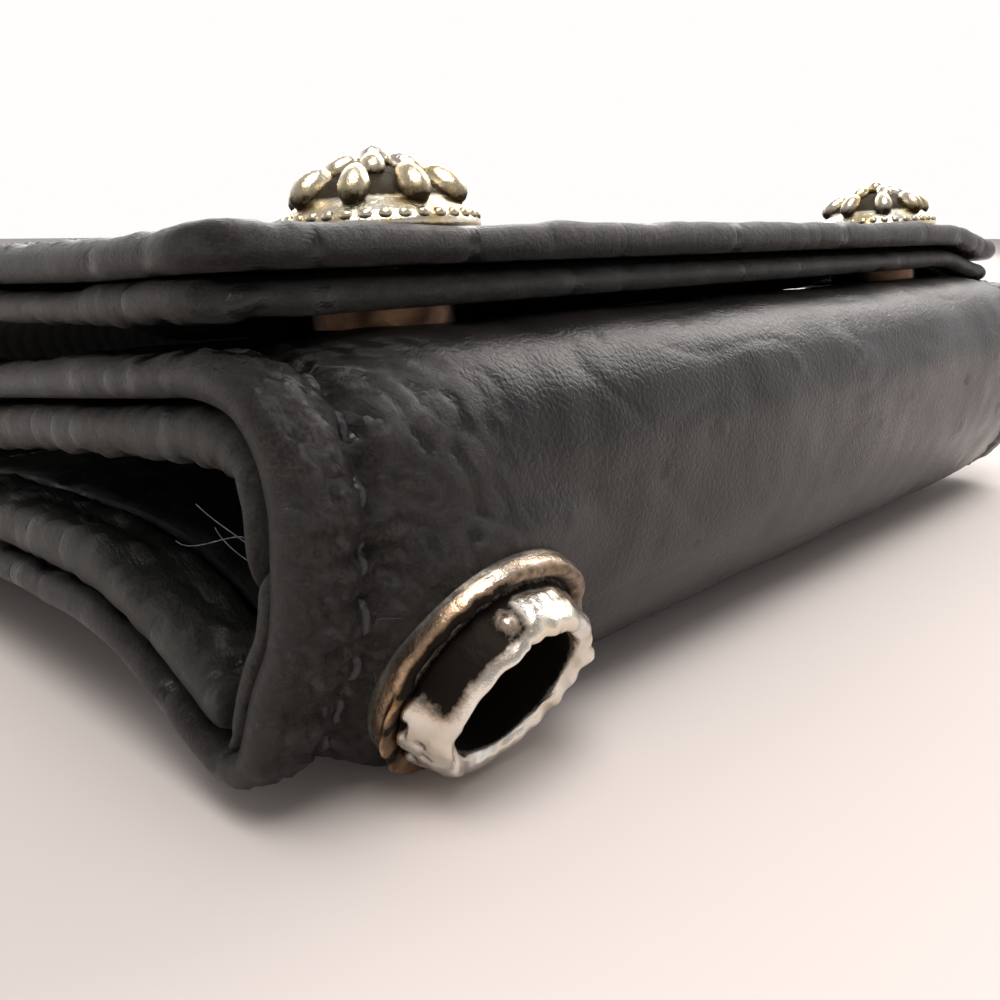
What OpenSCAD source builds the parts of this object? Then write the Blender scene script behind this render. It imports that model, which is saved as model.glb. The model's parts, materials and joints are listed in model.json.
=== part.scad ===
// Three-fold leather chain wallet, lying on its back panel, closed.
// X runs along the folds, Y from the front fold to the back fold, Z up. Millimetres.

/* [Leather strip] */
// Length of the wallet along its folds
length = 110; // [95:1:135]
// Closed width, from the front fold to the back fold
width = 92; // [84:1:112]
// Outside height of the front fold
front_fold_h = 23.4; // [19:0.1:28]
// Outside height of the back fold
back_fold_h = 22.8; // [19:0.5:28]
// Reach of the inner panel from the front fold
panel_reach = 44; // [38:1:45]
// Distance from the front fold to the flap's free edge
flap_setback = 6; // [4:0.5:9]
// Gap between the flap and the inner panel at the snaps
snap_gap = 1.8; // [1.5:0.1:2.6]
// How far the front fold's lowest line is over the back fold's
front_lift = 0.3; // [0.1:0.1:2]

/* [Leather] */
// Thickness of the outer leather
leather_t = 1.1; // [0.8:0.1:1.3]
// Thickness of the turned-over hem under it
hem_t = 1.0; // [0.7:0.1:1.2]
// Width of the turned-over hems
hem_w = 8; // [6:0.5:11]
// Thickness of the lining
lining_t = 0.5; // [0.3:0.1:0.8]
// Thickness of the facing sheets that close the note pocket
facing_t = 0.8; // [0.6:0.1:1]
// Width of the bound rims at the ends of the facings
rim_w = 6; // [4:0.5:8]
// Width of the bound rim along the flap's free edge
free_rim_w = 3; // [2:0.5:3]
// Free height of the note pocket
note_gap = 0.3; // [0.2:0.1:0.5]
// Thickness of one pocket wall
pocket_t = 0.55; // [0.4:0.05:0.7]
// Clearance between two pocket walls
pocket_gap = 0.1; // [0.05:0.05:0.2]
// Step from one card pocket mouth to the next
pocket_step = 9; // [6:1:12]
// Radius of the flap's free corners
corner_r = 3; // [1:0.5:6]

/* [Stitching] */
// Thickness of the thread
thread_d = 0.6; // [0.4:0.1:0.8]
// Distance from one stitch to the next
stitch_pitch = 3.4; // [2.8:0.1:5]
// Length of one stitch
stitch_l = 2.5; // [1.8:0.1:2.7]
// Distance of the seams from the ends
seam_inset = 4.8; // [3:0.1:5.5]

/* [Grommet] */
// Radius of the hole for the chain
bore_r = 4.5; // [3.6:0.1:5]
// Outside radius of the flange
flange_r = 7.8; // [7.1:0.1:8.6]
// Outside radius of the raised ring
ring_r = 6.1; // [5.9:0.1:6.5]
// Height of the raised ring over the leather
ring_h = 3.2; // [2:0.1:4]
// Wall of the barrel
barrel_wall = 0.6; // [0.4:0.1:0.9]
// Distance of the hole from the near end
grommet_x = 14; // [10:0.5:22]
// Distance of the hole below the front hinge line, along the leather
grommet_drop = 9.5; // [9:0.25:12]
// Radius of the washer behind the leather
washer_r = 7.2; // [6.6:0.1:7.4]

/* [Snaps] */
// Radius of the snap caps
cap_r = 6.3; // [5:0.1:7.5]
// Height of the snap caps
cap_h = 4.7; // [3:0.1:6]
// Distance of the snaps from the ends
snap_inset = 18; // [12:0.5:26]
// Distance of the snaps from the flap's free edge
snap_setback = 8.5; // [7.5:0.5:11]
// Radius of the post through the flap
post_r = 1.5; // [1:0.1:2]
// Radius of the stud that the socket grips
stud_r = 2.1; // [1.6:0.1:2.4]

/* [Zip] */
// Length of the zip chain
zip_l = 84; // [66:1:90]
// Distance from the back fold to the zip, along the leather
zip_back = 34; // [30:1:38]
// Length of the slider
slider_l = 6; // [5:0.5:8]
// Length of the pull from its pivot
pull_l = 7; // [5:0.5:7.5]

/* [Hidden] */
$fn = 48;

// Depths below the outer face of the leather
hem_d = leather_t + hem_t;
facing_d = hem_d + note_gap;
facing_end_d = facing_d + facing_t;
pocket_pitch = pocket_t + pocket_gap;
flap_rim_d = facing_end_d + 2 * pocket_pitch;
coin_gap = 1.9;
back_rim_d = facing_end_d + coin_gap + facing_t;
panel_rim_d = facing_end_d + 2.3;
fit = 0.1;
hinge_gap = 0.2;
overlap = 0.01;

// The section of the leather strip: [distance from the front fold, height], outside face
front_top = front_lift + front_fold_h;
hinge_b_z = front_lift + 0.64 * front_fold_h;
hinge_a_z = back_fold_h * 0.46;
flap_front = front_top + snap_gap + flap_rim_d;
panel_points = [[panel_reach, front_top - 4], [30, front_top - 2.4], [21, front_top - 1.4],
    [14, front_top - 0.6], [8.2, front_top], [3.8, front_top - 0.7], [1.2, front_top - 2.9],
    [0.1, hinge_b_z + 2.6]];
back_points = [[0, hinge_b_z], [0.2, front_lift + 9.8], [1.1, front_lift + 6.7],
    [2.7, front_lift + 3.4], [4.6, front_lift + 1.1], [7.4, front_lift], [10.8, front_lift + 0.7],
    [15, front_lift + 2.7], [21, front_lift + 4.5], [28, front_lift + 5],
    [0.5 * width, 4.6], [width - 30, 2.6], [width - 17, 0.5], [width - 9.5, 0],
    [width - 4.5, 1.2], [width - 1.3, 4.6]];
flap_points = [[width, hinge_a_z], [width - 1.3, back_fold_h - 6.4], [width - 5, back_fold_h - 2.4],
    [width - 12, back_fold_h], [width - 32, flap_front - 3.6], [0.5 * width - 6, flap_front - 2],
    [28, flap_front - 1.4], [19.5, flap_front - 1], [12.5, flap_front - 0.5],
    [flap_setback, flap_front]];
strip_points = concat(panel_points, back_points, flap_points);

// A smooth curve through the points, with steps pieces between each two
steps = 5;
function mixed(a, b, c, d, u) = 0.5 * (2 * b + (c - a) * u + (2 * a - 5 * b + 4 * c - d) * u * u
    + (3 * b - a - 3 * c + d) * u * u * u);
function smooth(p) = concat([for (i = [0 : len(p) - 2], j = [0 : steps - 1])
    mixed(p[max(i - 1, 0)], p[i], p[i + 1], p[min(i + 2, len(p) - 1)], j / steps)],
    [p[len(p) - 1]]);
strip = smooth(strip_points);
function lengths(p) = [for (i = 0, s = 0; i < len(p);
    s = i < len(p) - 1 ? s + norm(p[i + 1] - p[i]) : s, i = i + 1) s];
run = lengths(strip);
hinge_b = run[len(panel_points) * steps];
hinge_a = run[(len(panel_points) + len(back_points)) * steps];
strip_end = run[len(run) - 1];
corner_y = flap_setback + corner_r;

// Point, direction and inward normal of the strip at distance s along it
function index_at(s) = max([for (k = [0 : len(run) - 2]) if (run[k] <= s + 1e-6) k]);
function point_at(s) = let (i = index_at(s), f = (s - run[i]) / (run[i + 1] - run[i]))
    strip[i] + f * (strip[i + 1] - strip[i]);
function way_at(s) = let (a = point_at(max(s - 0.6, 0)), b = point_at(min(s + 0.6, strip_end)))
    (b - a) / norm(b - a);
function inward_at(s) = let (w = way_at(s)) [-w[1], w[0]];
function deep_at(s, d) = point_at(s) + d * inward_at(s);
function stops_between(a, b) = concat([a], [for (s = run) if (s > a + 0.2 && s < b - 0.2) s], [b]);
function reversed(v) = [for (i = [len(v) - 1 : -1 : 0]) v[i]];

// Where things lie along the strip
snap_places = [snap_inset, length - snap_inset];
cap_s = strip_end - snap_setback;
function gap_to_strip(p, s) = norm(point_at(s) - p);
cap_foot = deep_at(cap_s, flap_rim_d);
near_cap = [for (s = [10 : 0.25 : hinge_b - 6]) gap_to_strip(cap_foot, s)];
stud_s = 10 + 0.25 * search(min(near_cap), near_cap)[0];
snap_room = min(near_cap);
grommet_s = hinge_b + grommet_drop;
zip_s = hinge_a - zip_back;
patch_l = 17.5;
back_facing_from = hinge_b + patch_l + 1.5;
back_facing_to = hinge_a - 16;
flap_facing_from = hinge_a + 18;
flap_facing_to = strip_end - 1;
panel_facing_from = 0.6;
panel_facing_to = hinge_b - 8;

// The grommet's rims, [radius, height], and how far forward and down they reach
grommet_rims = [[flange_r, 0], [ring_r, ring_h - 0.6], [ring_r - 0.5, ring_h]];
grommet_at = point_at(grommet_s);
grommet_out = -inward_at(grommet_s);
rim_front = min([for (g = grommet_rims)
    grommet_at[0] + grommet_out[0] * g[1] - abs(grommet_out[1]) * g[0]]);
rim_low = min([for (g = grommet_rims)
    grommet_at[1] + grommet_out[1] * g[1] - abs(grommet_out[0]) * g[0]]);
front_y = min(rim_front, min([for (p = strip) p[0]]));
back_y = max([for (p = strip) p[0]]);
lowest_z = min(rim_low, min([for (p = strip) p[1]]));

// The frame's origin is under the middle of the closed wallet
y_shift = -(front_y + back_y) / 2;
x_near = -length / 2;

// The outline of a sheet: its outer face at depth top, its inner face at depth bottom
function inner_face(from, to, depth) = reversed([for (s = stops_between(from, to)) deep_at(s, depth)]);
function outer_face(from, to, depth) = [for (s = stops_between(from, to)) deep_at(s, depth)];
function sheet_outline(from, to, top, bottom) =
    concat(outer_face(from, to, top), inner_face(from, to, bottom));

// Extrudes an outline of the section from x0 to x1, measured from the near end
module slab(outline, x0, x1) {
    translate([x_near + x0, y_shift, -lowest_z]) rotate([90, 0, 90])
        linear_extrude(x1 - x0) polygon(outline);
}
module sheet(from, to, top, bottom, x0 = 0, x1 = length) {
    slab(sheet_outline(from, to, top, bottom), x0, x1);
}

// Puts something on the strip, its +Z pointing out of the leather
module on_strip(s, x, depth = 0) {
    p = deep_at(s, depth);
    n = -inward_at(s);
    translate([x_near + x, y_shift + p[0], p[1] - lowest_z])
        rotate([atan2(-n[0], n[1]), 0, 0]) children();
}

patch_d = hem_d + leather_t;
washer_t = 0.7;
flange_seat = 0.5;

// Leather with its turned hems at both ends and, where asked, along a free edge
module hemmed(from, to, free_from = false, free_to = false) {
    start = from + (free_from ? hem_w : 0);
    end = to - (free_to ? hem_w : 0);
    middle = concat(outer_face(from, to, 0),
        free_to ? inner_face(end, to, hem_d) : [],
        inner_face(start, end, leather_t),
        free_from ? inner_face(from, start, hem_d) : []);
    slab(middle, hem_w, length - hem_w);
    for (x = [0, length - hem_w]) sheet(from, to, 0, hem_d, x, x + hem_w);
}

// A facing sheet with bound rims at both ends, which hide the sides of the pockets.
// Its far end is sewn down to the hem; its near end is the mouth of the note pocket.
module faced(from, to, rim_d) {
    sheet(from, to, facing_d, facing_end_d, rim_w, length - rim_w);
    sheet(from, to, facing_d, rim_d, 0, rim_w);
    sheet(from, to, hem_d, rim_d, length - rim_w, length);
}

// Holes right through the flap for the snaps' posts
module post_holes() {
    for (x = snap_places) on_strip(cap_s, x, flap_rim_d + 1)
        cylinder(h = flap_rim_d + 2, r = post_r + fit / 2);
}
// Rounds the corners of the flap's free edge
module corner_cut() {
    for (side = [-1, 1]) translate([side * (length / 2 - corner_r), y_shift + corner_y, 0])
        difference() {
            translate([side > 0 ? 0 : -corner_r - 1, -corner_r - 2, 0])
                cube([corner_r + 1, corner_r + 2, 60]);
            translate([0, 0, -1]) cylinder(h = 62, r = corner_r);
        }
}

// Where the grommet's barrel goes through, and the flat seat pressed by its washer
module barrel_hole() {
    on_strip(grommet_s, grommet_x, 7) cylinder(h = 12, r = bore_r + barrel_wall + fit / 2);
    on_strip(grommet_s, grommet_x, patch_d + 5) cylinder(h = 5, r = washer_r + fit);
}

module back_leather() {
    color("#201e1d") difference() {
        hemmed(hinge_b + hinge_gap / 2, hinge_a - hinge_gap / 2);
        barrel_hole();
        on_strip(grommet_s, grommet_x, flange_seat) cylinder(h = 5, r = flange_r + fit);
    }
}
module back_lining() {
    color("#2b2a29") difference() {
        sheet(hinge_b + 1, hinge_a - 1, leather_t, leather_t + lining_t, hem_w + fit, length - hem_w - fit);
        barrel_hole();
    }
}
module spine_patch() {
    color("#2b2a29") difference() {
        sheet(hinge_b + 0.8, hinge_b + patch_l, hem_d, patch_d, 0, grommet_x + 14);
        barrel_hole();
    }
}
module back_facing() {
    color("#242322") faced(back_facing_from, back_facing_to, back_rim_d);
}

// The coin pocket in the back facing: a wall, and a strip on the other side of the zip
zip_half = 3;
coin_d = facing_end_d + coin_gap;
module coin_pocket_wall() {
    color("#242322") sheet(back_facing_from + 1, zip_s - zip_half, coin_d, coin_d + facing_t,
        rim_w + fit, length - rim_w - fit);
}
module coin_pocket_strip() {
    color("#242322") sheet(zip_s + zip_half, back_facing_to - 1, coin_d, coin_d + facing_t,
        rim_w + fit, length - rim_w - fit);
}

// The zip lies level in a frame of its own at the middle of the coin pocket
zip_x0 = (length - zip_l) / 2;
tape_t = 0.4;
tooth_w = 1.1;
tooth_l = 0.9;
tooth_h = 1.5;
tooth_pitch = 1.8;
slit = 0.5;
chain_d = coin_d - tape_t / 2;
tape_grip = 0.2;
tape_reach = zip_half + 2.6;
plate_t = 0.6;
plate_w = 4.4;
plate_gap = 0.15;
web_t = 0.3;
// +Z of the zip points into the wallet
module on_zip(x = 0) on_strip(zip_s, zip_x0 + x, chain_d) rotate([180, 0, 0]) children();
module zip_tape(side) {
    edge = slit / 2 + tooth_w - tape_grip;
    from = zip_s + (side > 0 ? edge : -tape_reach);
    color("#1a1a1a") sheet(from, from + tape_reach - edge, coin_d - tape_t, coin_d,
        zip_x0, zip_x0 + zip_l);
}
module zip_row(side) {
    teeth = floor((zip_l - 4) / tooth_pitch);
    shift = side > 0 ? 0 : tooth_pitch / 2;
    color("#9a7b45") on_zip() for (i = [0 : teeth - 1])
        translate([2 + shift + i * tooth_pitch, side > 0 ? slit / 2 : -slit / 2 - tooth_w, -tooth_h / 2])
            cube([tooth_l, tooth_w, tooth_h]);
}
module zip_stops() {
    color("#9a7b45") for (x = [0, zip_l - 1.2], side = [-1, 1]) on_zip(x)
        translate([0, side > 0 ? slit / 2 : -slit / 2 - 1.4, -tooth_h / 2]) cube([1.2, 1.4, tooth_h]);
}
slider_x = zip_l - slider_l - 1.6;
bail_h = 2;
bail_t = 0.7;
pull_w = 3.4;
pull_t = 0.9;
module zip_slider() {
    plate_z = tooth_h / 2 + plate_gap;
    color("#b08d52") on_zip(slider_x) {
        for (z = [-plate_z - plate_t, plate_z])
            translate([0, -plate_w / 2, z]) cube([slider_l, plate_w, plate_t]);
        translate([1, -web_t / 2, -plate_z - overlap]) cube([slider_l - 2, web_t, 2 * plate_z + 2 * overlap]);
        translate([0, 0, plate_z + plate_t - overlap]) difference() {
            translate([0.6, -bail_t, 0]) cube([slider_l - 1.2, 2 * bail_t, bail_h]);
            translate([0.6 + bail_t, -bail_t - 1, -1])
                cube([slider_l - 1.2 - 2 * bail_t, 2 * bail_t + 2, bail_h + 1 - bail_t]);
        }
    }
}
pull_axis_x = slider_l / 2;
pull_axis_z = tooth_h / 2 + plate_gap + plate_t + 0.6;
module zip_pull() {
    bar_r = 0.45;
    arm = 0.8;
    color("#b08d52") on_zip(slider_x + pull_axis_x) translate([0, 0, pull_axis_z]) {
        rotate([90, 0, 0]) translate([0, 0, -pull_w / 2]) cylinder(h = pull_w, r = bar_r);
        for (y = [-pull_w / 2, pull_w / 2 - arm]) translate([-pull_l * 0.55, y, -bar_r])
            cube([pull_l * 0.55, arm, 2 * bar_r]);
        translate([-pull_l, -pull_w / 2, -bar_r]) cube([pull_l * 0.5, pull_w, 2 * bar_r]);
    }
}

// The grommet: a flange and raised ring outside, a barrel through the fold, and a washer inside
module grommet_face() {
    roll = 0.5;
    color("#b9b2a4") on_strip(grommet_s, grommet_x) rotate_extrude() {
        polygon([[bore_r, -patch_d - washer_t - roll], [bore_r + barrel_wall, -patch_d - washer_t - roll],
            [bore_r + barrel_wall, -flange_seat], [flange_r, -flange_seat], [flange_r, 0],
            [flange_r - 0.5, 0.6], [ring_r + 0.1, 1.2], [ring_r, ring_h - 0.6],
            [ring_r - 0.5, ring_h], [bore_r + 0.5, ring_h], [bore_r, ring_h - 0.5]]);
        translate([bore_r + barrel_wall - overlap, -patch_d - washer_t - roll])
            square([0.5, roll]);
    }
}
module grommet_washer() {
    color("#8f8a80") on_strip(grommet_s, grommet_x, patch_d + washer_t) difference() {
        cylinder(h = washer_t, r = washer_r);
        translate([0, 0, -1]) cylinder(h = washer_t + 2, r = bore_r + barrel_wall + fit / 2);
    }
}

// Seams: short threads lying along the strip at each end, and along the free edges.
// The flap's seam is hidden under its snap caps.
edge_seam = 3.2;
module stitch() {
    translate([0, 0, -stitch_l / 2]) cylinder(h = stitch_l, d = thread_d, $fn = 16);
}
module stitches_across(from, to) {
    n = floor((to - from) / stitch_pitch);
    for (x = [seam_inset, length - seam_inset], i = [0 : n - 1])
        on_strip(from + (i + 0.5) * (to - from) / n, x)
            rotate([90, 0, 0]) stitch();
}
module stitches_along(s, clear_r = 0) {
    room = length - 2 * seam_inset - stitch_pitch;
    n = floor(room / stitch_pitch);
    places = [for (i = [0 : n - 1]) seam_inset + stitch_pitch / 2 + (i + 0.5) * room / n];
    shown = [for (x = places) if (min([for (c = snap_places) abs(x - c)]) > clear_r) x];
    for (x = shown) on_strip(s, x)
        rotate([0, 90, 0]) stitch();
}
module back_thread() {
    color("#151515") stitches_across(hinge_b + 1.5, hinge_a - 1.5);
}
module flap_thread() {
    color("#151515") {
        stitches_across(hinge_a + 1.5, strip_end - seam_inset);
        stitches_along(strip_end - edge_seam, cap_r + stitch_l / 2 + 0.2);
    }
}
module panel_thread() {
    color("#151515") {
        stitches_across(seam_inset, hinge_b - 1.5);
        stitches_along(edge_seam);
    }
}

// The flap
module flap_leather() {
    color("#201e1d") difference() {
        hemmed(hinge_a + hinge_gap / 2, strip_end, free_to = true);
        post_holes();
        corner_cut();
    }
}
module flap_lining() {
    color("#2b2a29") difference() {
        sheet(hinge_a + 1, strip_end - hem_w - fit, leather_t, leather_t + lining_t,
            hem_w + fit, length - hem_w - fit);
        post_holes();
    }
}
module flap_facing() {
    color("#242322") difference() {
        union() {
            faced(flap_facing_from, flap_facing_to, flap_rim_d);
            sheet(flap_facing_to - free_rim_w, flap_facing_to, facing_end_d, flap_rim_d,
                rim_w, length - rim_w);
        }
        post_holes();
        corner_cut();
    }
}
module flap_card_pocket(k) {
    from = flap_facing_from + 6 + k * pocket_step;
    top = facing_end_d + k * pocket_pitch + pocket_gap;
    color("#242322") difference() {
        sheet(from, flap_facing_to - free_rim_w - fit, top, top + pocket_t,
            rim_w + fit, length - rim_w - fit);
        post_holes();
    }
}

// Snap caps with their posts, and the sockets clenched on the posts under the flap
module snap_cap(x) {
    rim_h = 1.1;
    dome_r = cap_r - 1.3;
    color("#c4bca6") on_strip(cap_s, x) {
        translate([0, 0, -flap_rim_d - 0.3]) cylinder(h = flap_rim_d + 0.3 + overlap, r = post_r);
        cylinder(h = rim_h, r = cap_r);
        rotate_extrude() polygon([[0, rim_h - overlap], [dome_r, rim_h - overlap],
            [dome_r - 0.7, cap_h - 2], [dome_r - 2, cap_h - 0.9], [0, cap_h - 0.5]]);
        for (a = [0 : 45 : 315]) rotate(a) translate([dome_r - 0.5, 0, 2]) sphere(r = 1.2, $fn = 24);
        translate([0, 0, cap_h - 1.4]) sphere(r = 1.4, $fn = 24);
    }
}
stud_base_t = 0.3;
stud_base_r = 3.6;
rivet_r = 3.2;
socket_r = 4.6;
stem_r = 1;
stem_d = leather_t + lining_t + fit;
rivet_d = facing_d - 0.05;
socket_h = snap_room - stud_base_t - 0.3;
socket_plate = 0.35;
module snap_socket(x) {
    color("#9a7b45") on_strip(cap_s, x, flap_rim_d + socket_h) difference() {
        cylinder(h = socket_h, r = socket_r);
        translate([0, 0, -1]) cylinder(h = socket_h - socket_plate + 1, r = stud_r + 0.8);
        cylinder(h = socket_h + 1, r = post_r + fit / 2);
    }
}
module snap_stud(x) {
    color("#9a7b45") on_strip(stud_s, x) {
        cylinder(h = stud_base_t, r = stud_base_r);
        cylinder(h = snap_room - socket_plate - 0.25, r = stud_r);
        translate([0, 0, -stem_d]) cylinder(h = stem_d + overlap, r = stem_r);
    }
}
module snap_rivet(x) {
    color("#9a7b45") on_strip(stud_s, x, rivet_d) cylinder(h = rivet_d - stem_d, r = rivet_r);
}

// The inner panel
module stud_holes() {
    for (x = snap_places) on_strip(stud_s, x, facing_d) cylinder(h = facing_d + 1, r = stem_r + fit / 2);
}
module panel_leather() {
    color("#201e1d") difference() {
        hemmed(0, hinge_b - hinge_gap / 2, free_from = true);
        stud_holes();
    }
}
module panel_lining() {
    color("#2b2a29") difference() {
        sheet(hem_w + fit, hinge_b - 1, leather_t, leather_t + lining_t, hem_w + fit, length - hem_w - fit);
        stud_holes();
    }
}
module panel_facing() {
    color("#242322") faced(panel_facing_from, panel_facing_to, panel_rim_d);
}
module panel_ticket_pocket() {
    color("#242322") sheet(3, panel_facing_to - 6, panel_rim_d - 0.5 - pocket_t, panel_rim_d - 0.5,
        rim_w + fit, length - rim_w - fit);
}

back_leather();
back_lining();
back_facing();
spine_patch();
coin_pocket_wall();
coin_pocket_strip();
zip_tape(-1);  // zip_tape_front
zip_tape(1);  // zip_tape_rear
zip_row(-1);  // zip_teeth_front
zip_row(1);  // zip_teeth_rear
zip_stops();
zip_slider();
zip_pull();
grommet_face();
grommet_washer();
back_thread();
flap_leather();
flap_lining();
flap_facing();
flap_card_pocket(0);  // flap_card_pocket_1
flap_card_pocket(1);  // flap_card_pocket_2
snap_cap(snap_inset);  // snap_cap_near
snap_cap(length - snap_inset);  // snap_cap_far
snap_socket(snap_inset);  // snap_socket_near
snap_socket(length - snap_inset);  // snap_socket_far
flap_thread();
panel_leather();
panel_lining();
panel_facing();
panel_ticket_pocket();
snap_stud(snap_inset);  // snap_stud_near
snap_stud(length - snap_inset);  // snap_stud_far
snap_rivet(snap_inset);  // snap_rivet_near
snap_rivet(length - snap_inset);  // snap_rivet_far
panel_thread();
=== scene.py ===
import math

import bpy
import numpy as np
from mathutils import Euler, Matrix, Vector
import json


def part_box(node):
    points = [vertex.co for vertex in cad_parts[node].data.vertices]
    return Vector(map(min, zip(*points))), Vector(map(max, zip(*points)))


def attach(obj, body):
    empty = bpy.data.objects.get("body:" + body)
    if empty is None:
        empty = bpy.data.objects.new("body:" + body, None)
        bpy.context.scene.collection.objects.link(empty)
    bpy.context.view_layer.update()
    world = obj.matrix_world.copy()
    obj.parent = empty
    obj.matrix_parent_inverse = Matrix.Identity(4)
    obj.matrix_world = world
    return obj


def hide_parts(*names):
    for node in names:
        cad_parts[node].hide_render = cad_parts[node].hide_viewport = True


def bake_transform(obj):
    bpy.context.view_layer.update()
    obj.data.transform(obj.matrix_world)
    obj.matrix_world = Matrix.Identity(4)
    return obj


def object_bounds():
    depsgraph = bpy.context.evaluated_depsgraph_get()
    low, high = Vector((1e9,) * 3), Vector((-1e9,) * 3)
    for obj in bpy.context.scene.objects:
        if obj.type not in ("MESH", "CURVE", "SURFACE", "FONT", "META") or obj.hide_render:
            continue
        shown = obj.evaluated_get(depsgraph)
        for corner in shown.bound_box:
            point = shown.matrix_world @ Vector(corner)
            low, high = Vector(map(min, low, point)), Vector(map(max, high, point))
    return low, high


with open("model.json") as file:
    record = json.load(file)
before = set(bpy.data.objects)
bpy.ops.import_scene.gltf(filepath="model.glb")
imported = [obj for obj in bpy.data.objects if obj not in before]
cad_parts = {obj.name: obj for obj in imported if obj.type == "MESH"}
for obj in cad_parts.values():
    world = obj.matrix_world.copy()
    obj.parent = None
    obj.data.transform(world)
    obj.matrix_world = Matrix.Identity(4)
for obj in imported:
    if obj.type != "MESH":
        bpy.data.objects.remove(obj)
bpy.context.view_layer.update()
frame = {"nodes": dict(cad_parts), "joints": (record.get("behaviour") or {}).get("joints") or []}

# ---------------------------------------------------------------- outer leather, front half
# One long strip of black calf leather, folded twice, with its edges turned under
# by 8 mm and stitched down. This half runs from the inner panel's free edge round
# the front fold, and is joined to the rear half under the middle of the back panel.
MM = 0.001
joints = {joint["name"]: joint for joint in frame["joints"]}
back_low, back_high = (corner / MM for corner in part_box("back_leather"))
panel_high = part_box("panel_leather")[1] / MM
flap_low, flap_high = (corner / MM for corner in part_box("flap_leather"))

length = back_high.x - back_low.x
near_x = back_low.x
front_y, front_fold_z = (value / MM for value in joints["panel_open"]["pos_m"][1:])
back_y, back_fold_z = (value / MM for value in joints["flap_open"]["pos_m"][1:])
width = back_y - front_y
front_height = 23.4
back_height = 22.8
back_pivot_height = 10.5
front_top = panel_high.z
front_foot = front_top - front_height
foot = back_fold_z - back_pivot_height
back_fold_top = foot + back_height
flap_top = flap_high.z
panel_reach = panel_high.y - front_y
flap_edge_y = flap_low.y - front_y

# The strip's outer face, from the inner panel's edge to the flap's: [distance behind the
# front fold, height]
panel_points = [[panel_reach, front_top - 4], [30, front_top - 2.4], [21, front_top - 1.4],
                [14, front_top - 0.6], [8.2, front_top], [3.8, front_top - 0.7],
                [1.2, front_top - 2.9], [0.1, front_fold_z + 2.6]]
back_points = [[0, front_fold_z], [0.2, front_foot + 9.8], [1.1, front_foot + 6.7],
               [2.7, front_foot + 3.4], [4.6, front_foot + 1.1], [7.4, front_foot],
               [10.8, front_foot + 0.7], [15, front_foot + 2.7], [21, front_foot + 4.5],
               [28, front_foot + 5], [0.5 * width, foot + 4.6], [width - 30, foot + 2.6],
               [width - 17, foot + 0.5], [width - 9.5, foot + 0.05], [width - 4.5, foot + 1.2],
               [width - 1.3, foot + 4.6]]
flap_points = [[width, back_fold_z], [width - 1.3, back_fold_top - 6.4],
               [width - 5, back_fold_top - 2.4], [width - 12, back_fold_top],
               [width - 32, flap_top - 3.6], [0.5 * width - 6, flap_top - 2],
               [28, flap_top - 1.4], [19.5, flap_top - 1], [12.5, flap_top - 0.5],
               [flap_edge_y, flap_top]]


def smooth_curve(points, steps):
    """A Catmull-Rom curve through the points."""
    p = np.array([points[0]] + points + [points[-1]], float)
    u = np.linspace(0, 1, steps, endpoint=False)[:, None]
    spans = []
    for a, b, c, d in zip(p, p[1:], p[2:], p[3:]):
        spans.append(0.5 * (2 * b + (c - a) * u + (2 * a - 5 * b + 4 * c - d) * u ** 2
                            + (3 * b - a - 3 * c + d) * u ** 3))
    return np.vstack(spans + [p[-1:]])


run_points = smooth_curve(panel_points + back_points + flap_points, 60)
run = np.concatenate([[0], np.cumsum(np.linalg.norm(np.diff(run_points, axis=0), axis=1))])
front_fold = run[60 * len(panel_points)]
back_fold = run[60 * (len(panel_points) + len(back_points))]
flap_end = run[-1]


def on_run(s):
    """The point and the inward direction of the strip's outer face at distance s along it."""
    def at(t):
        t = np.clip(t, 0, flap_end)
        return np.stack([np.interp(t, run, run_points[:, k]) for k in (0, 1)], -1)
    way = at(s + 0.6) - at(s - 0.6)
    way /= np.linalg.norm(way, axis=-1, keepdims=True)
    return at(s), np.stack([-way[..., 1], way[..., 0]], -1)


def place(x, s, depth):
    """Points x from the near end, s along the strip and depth under its outer face, in metres."""
    at, inward = on_run(s)
    yz = at + inward * np.asarray(depth)[..., None]
    return np.stack([near_x + x, front_y + yz[..., 0], yz[..., 1]], -1) * MM


def ripple(size, seed, *axes, waves=14):
    """A smooth random field with bumps of about that size, from -1 to 1 or so."""
    rng = np.random.default_rng(seed)
    total = 0
    for _ in range(waves):
        way = rng.normal(size=len(axes))
        way *= rng.uniform(0.6, 1.7) / np.linalg.norm(way)
        phase = rng.uniform(0, 2 * math.pi)
        total = total + np.sin(sum(w * a for w, a in zip(way, axes)) * 2 * math.pi / size + phase)
    return total / math.sqrt(waves)


def ease(value, low, high):
    """A smooth rise from 0 at low to 1 at high."""
    t = np.clip((value - low) / (high - low), 0, 1)
    return t * t * (3 - 2 * t)


def hump(value, middle, spread):
    """A bell of height 1 at its middle."""
    return np.exp(-((value - middle) / spread) ** 2)


def stations(start, end, fine, coarse, focus, roll=(1.0, 1.0)):
    """Places from start to end: bunched where an edge rolls over, fine inside focus, coarse elsewhere."""
    arc = 1 - np.cos(np.linspace(0, math.pi / 2, 8))
    places = list(start + roll[0] * arc) if roll[0] else [start]
    stop = end - roll[1]
    while places[-1] < stop - coarse:
        away = max(focus[0] - places[-1], places[-1] - focus[1], 0)
        places.append(places[-1] + min(coarse, fine + away * 0.05))
    tail = list(end - roll[1] * arc[::-1]) if roll[1] else [end]
    return np.array(places[:-1] + list(np.linspace(places[-1], tail[0], 4)[:-1]) + tail)


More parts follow.
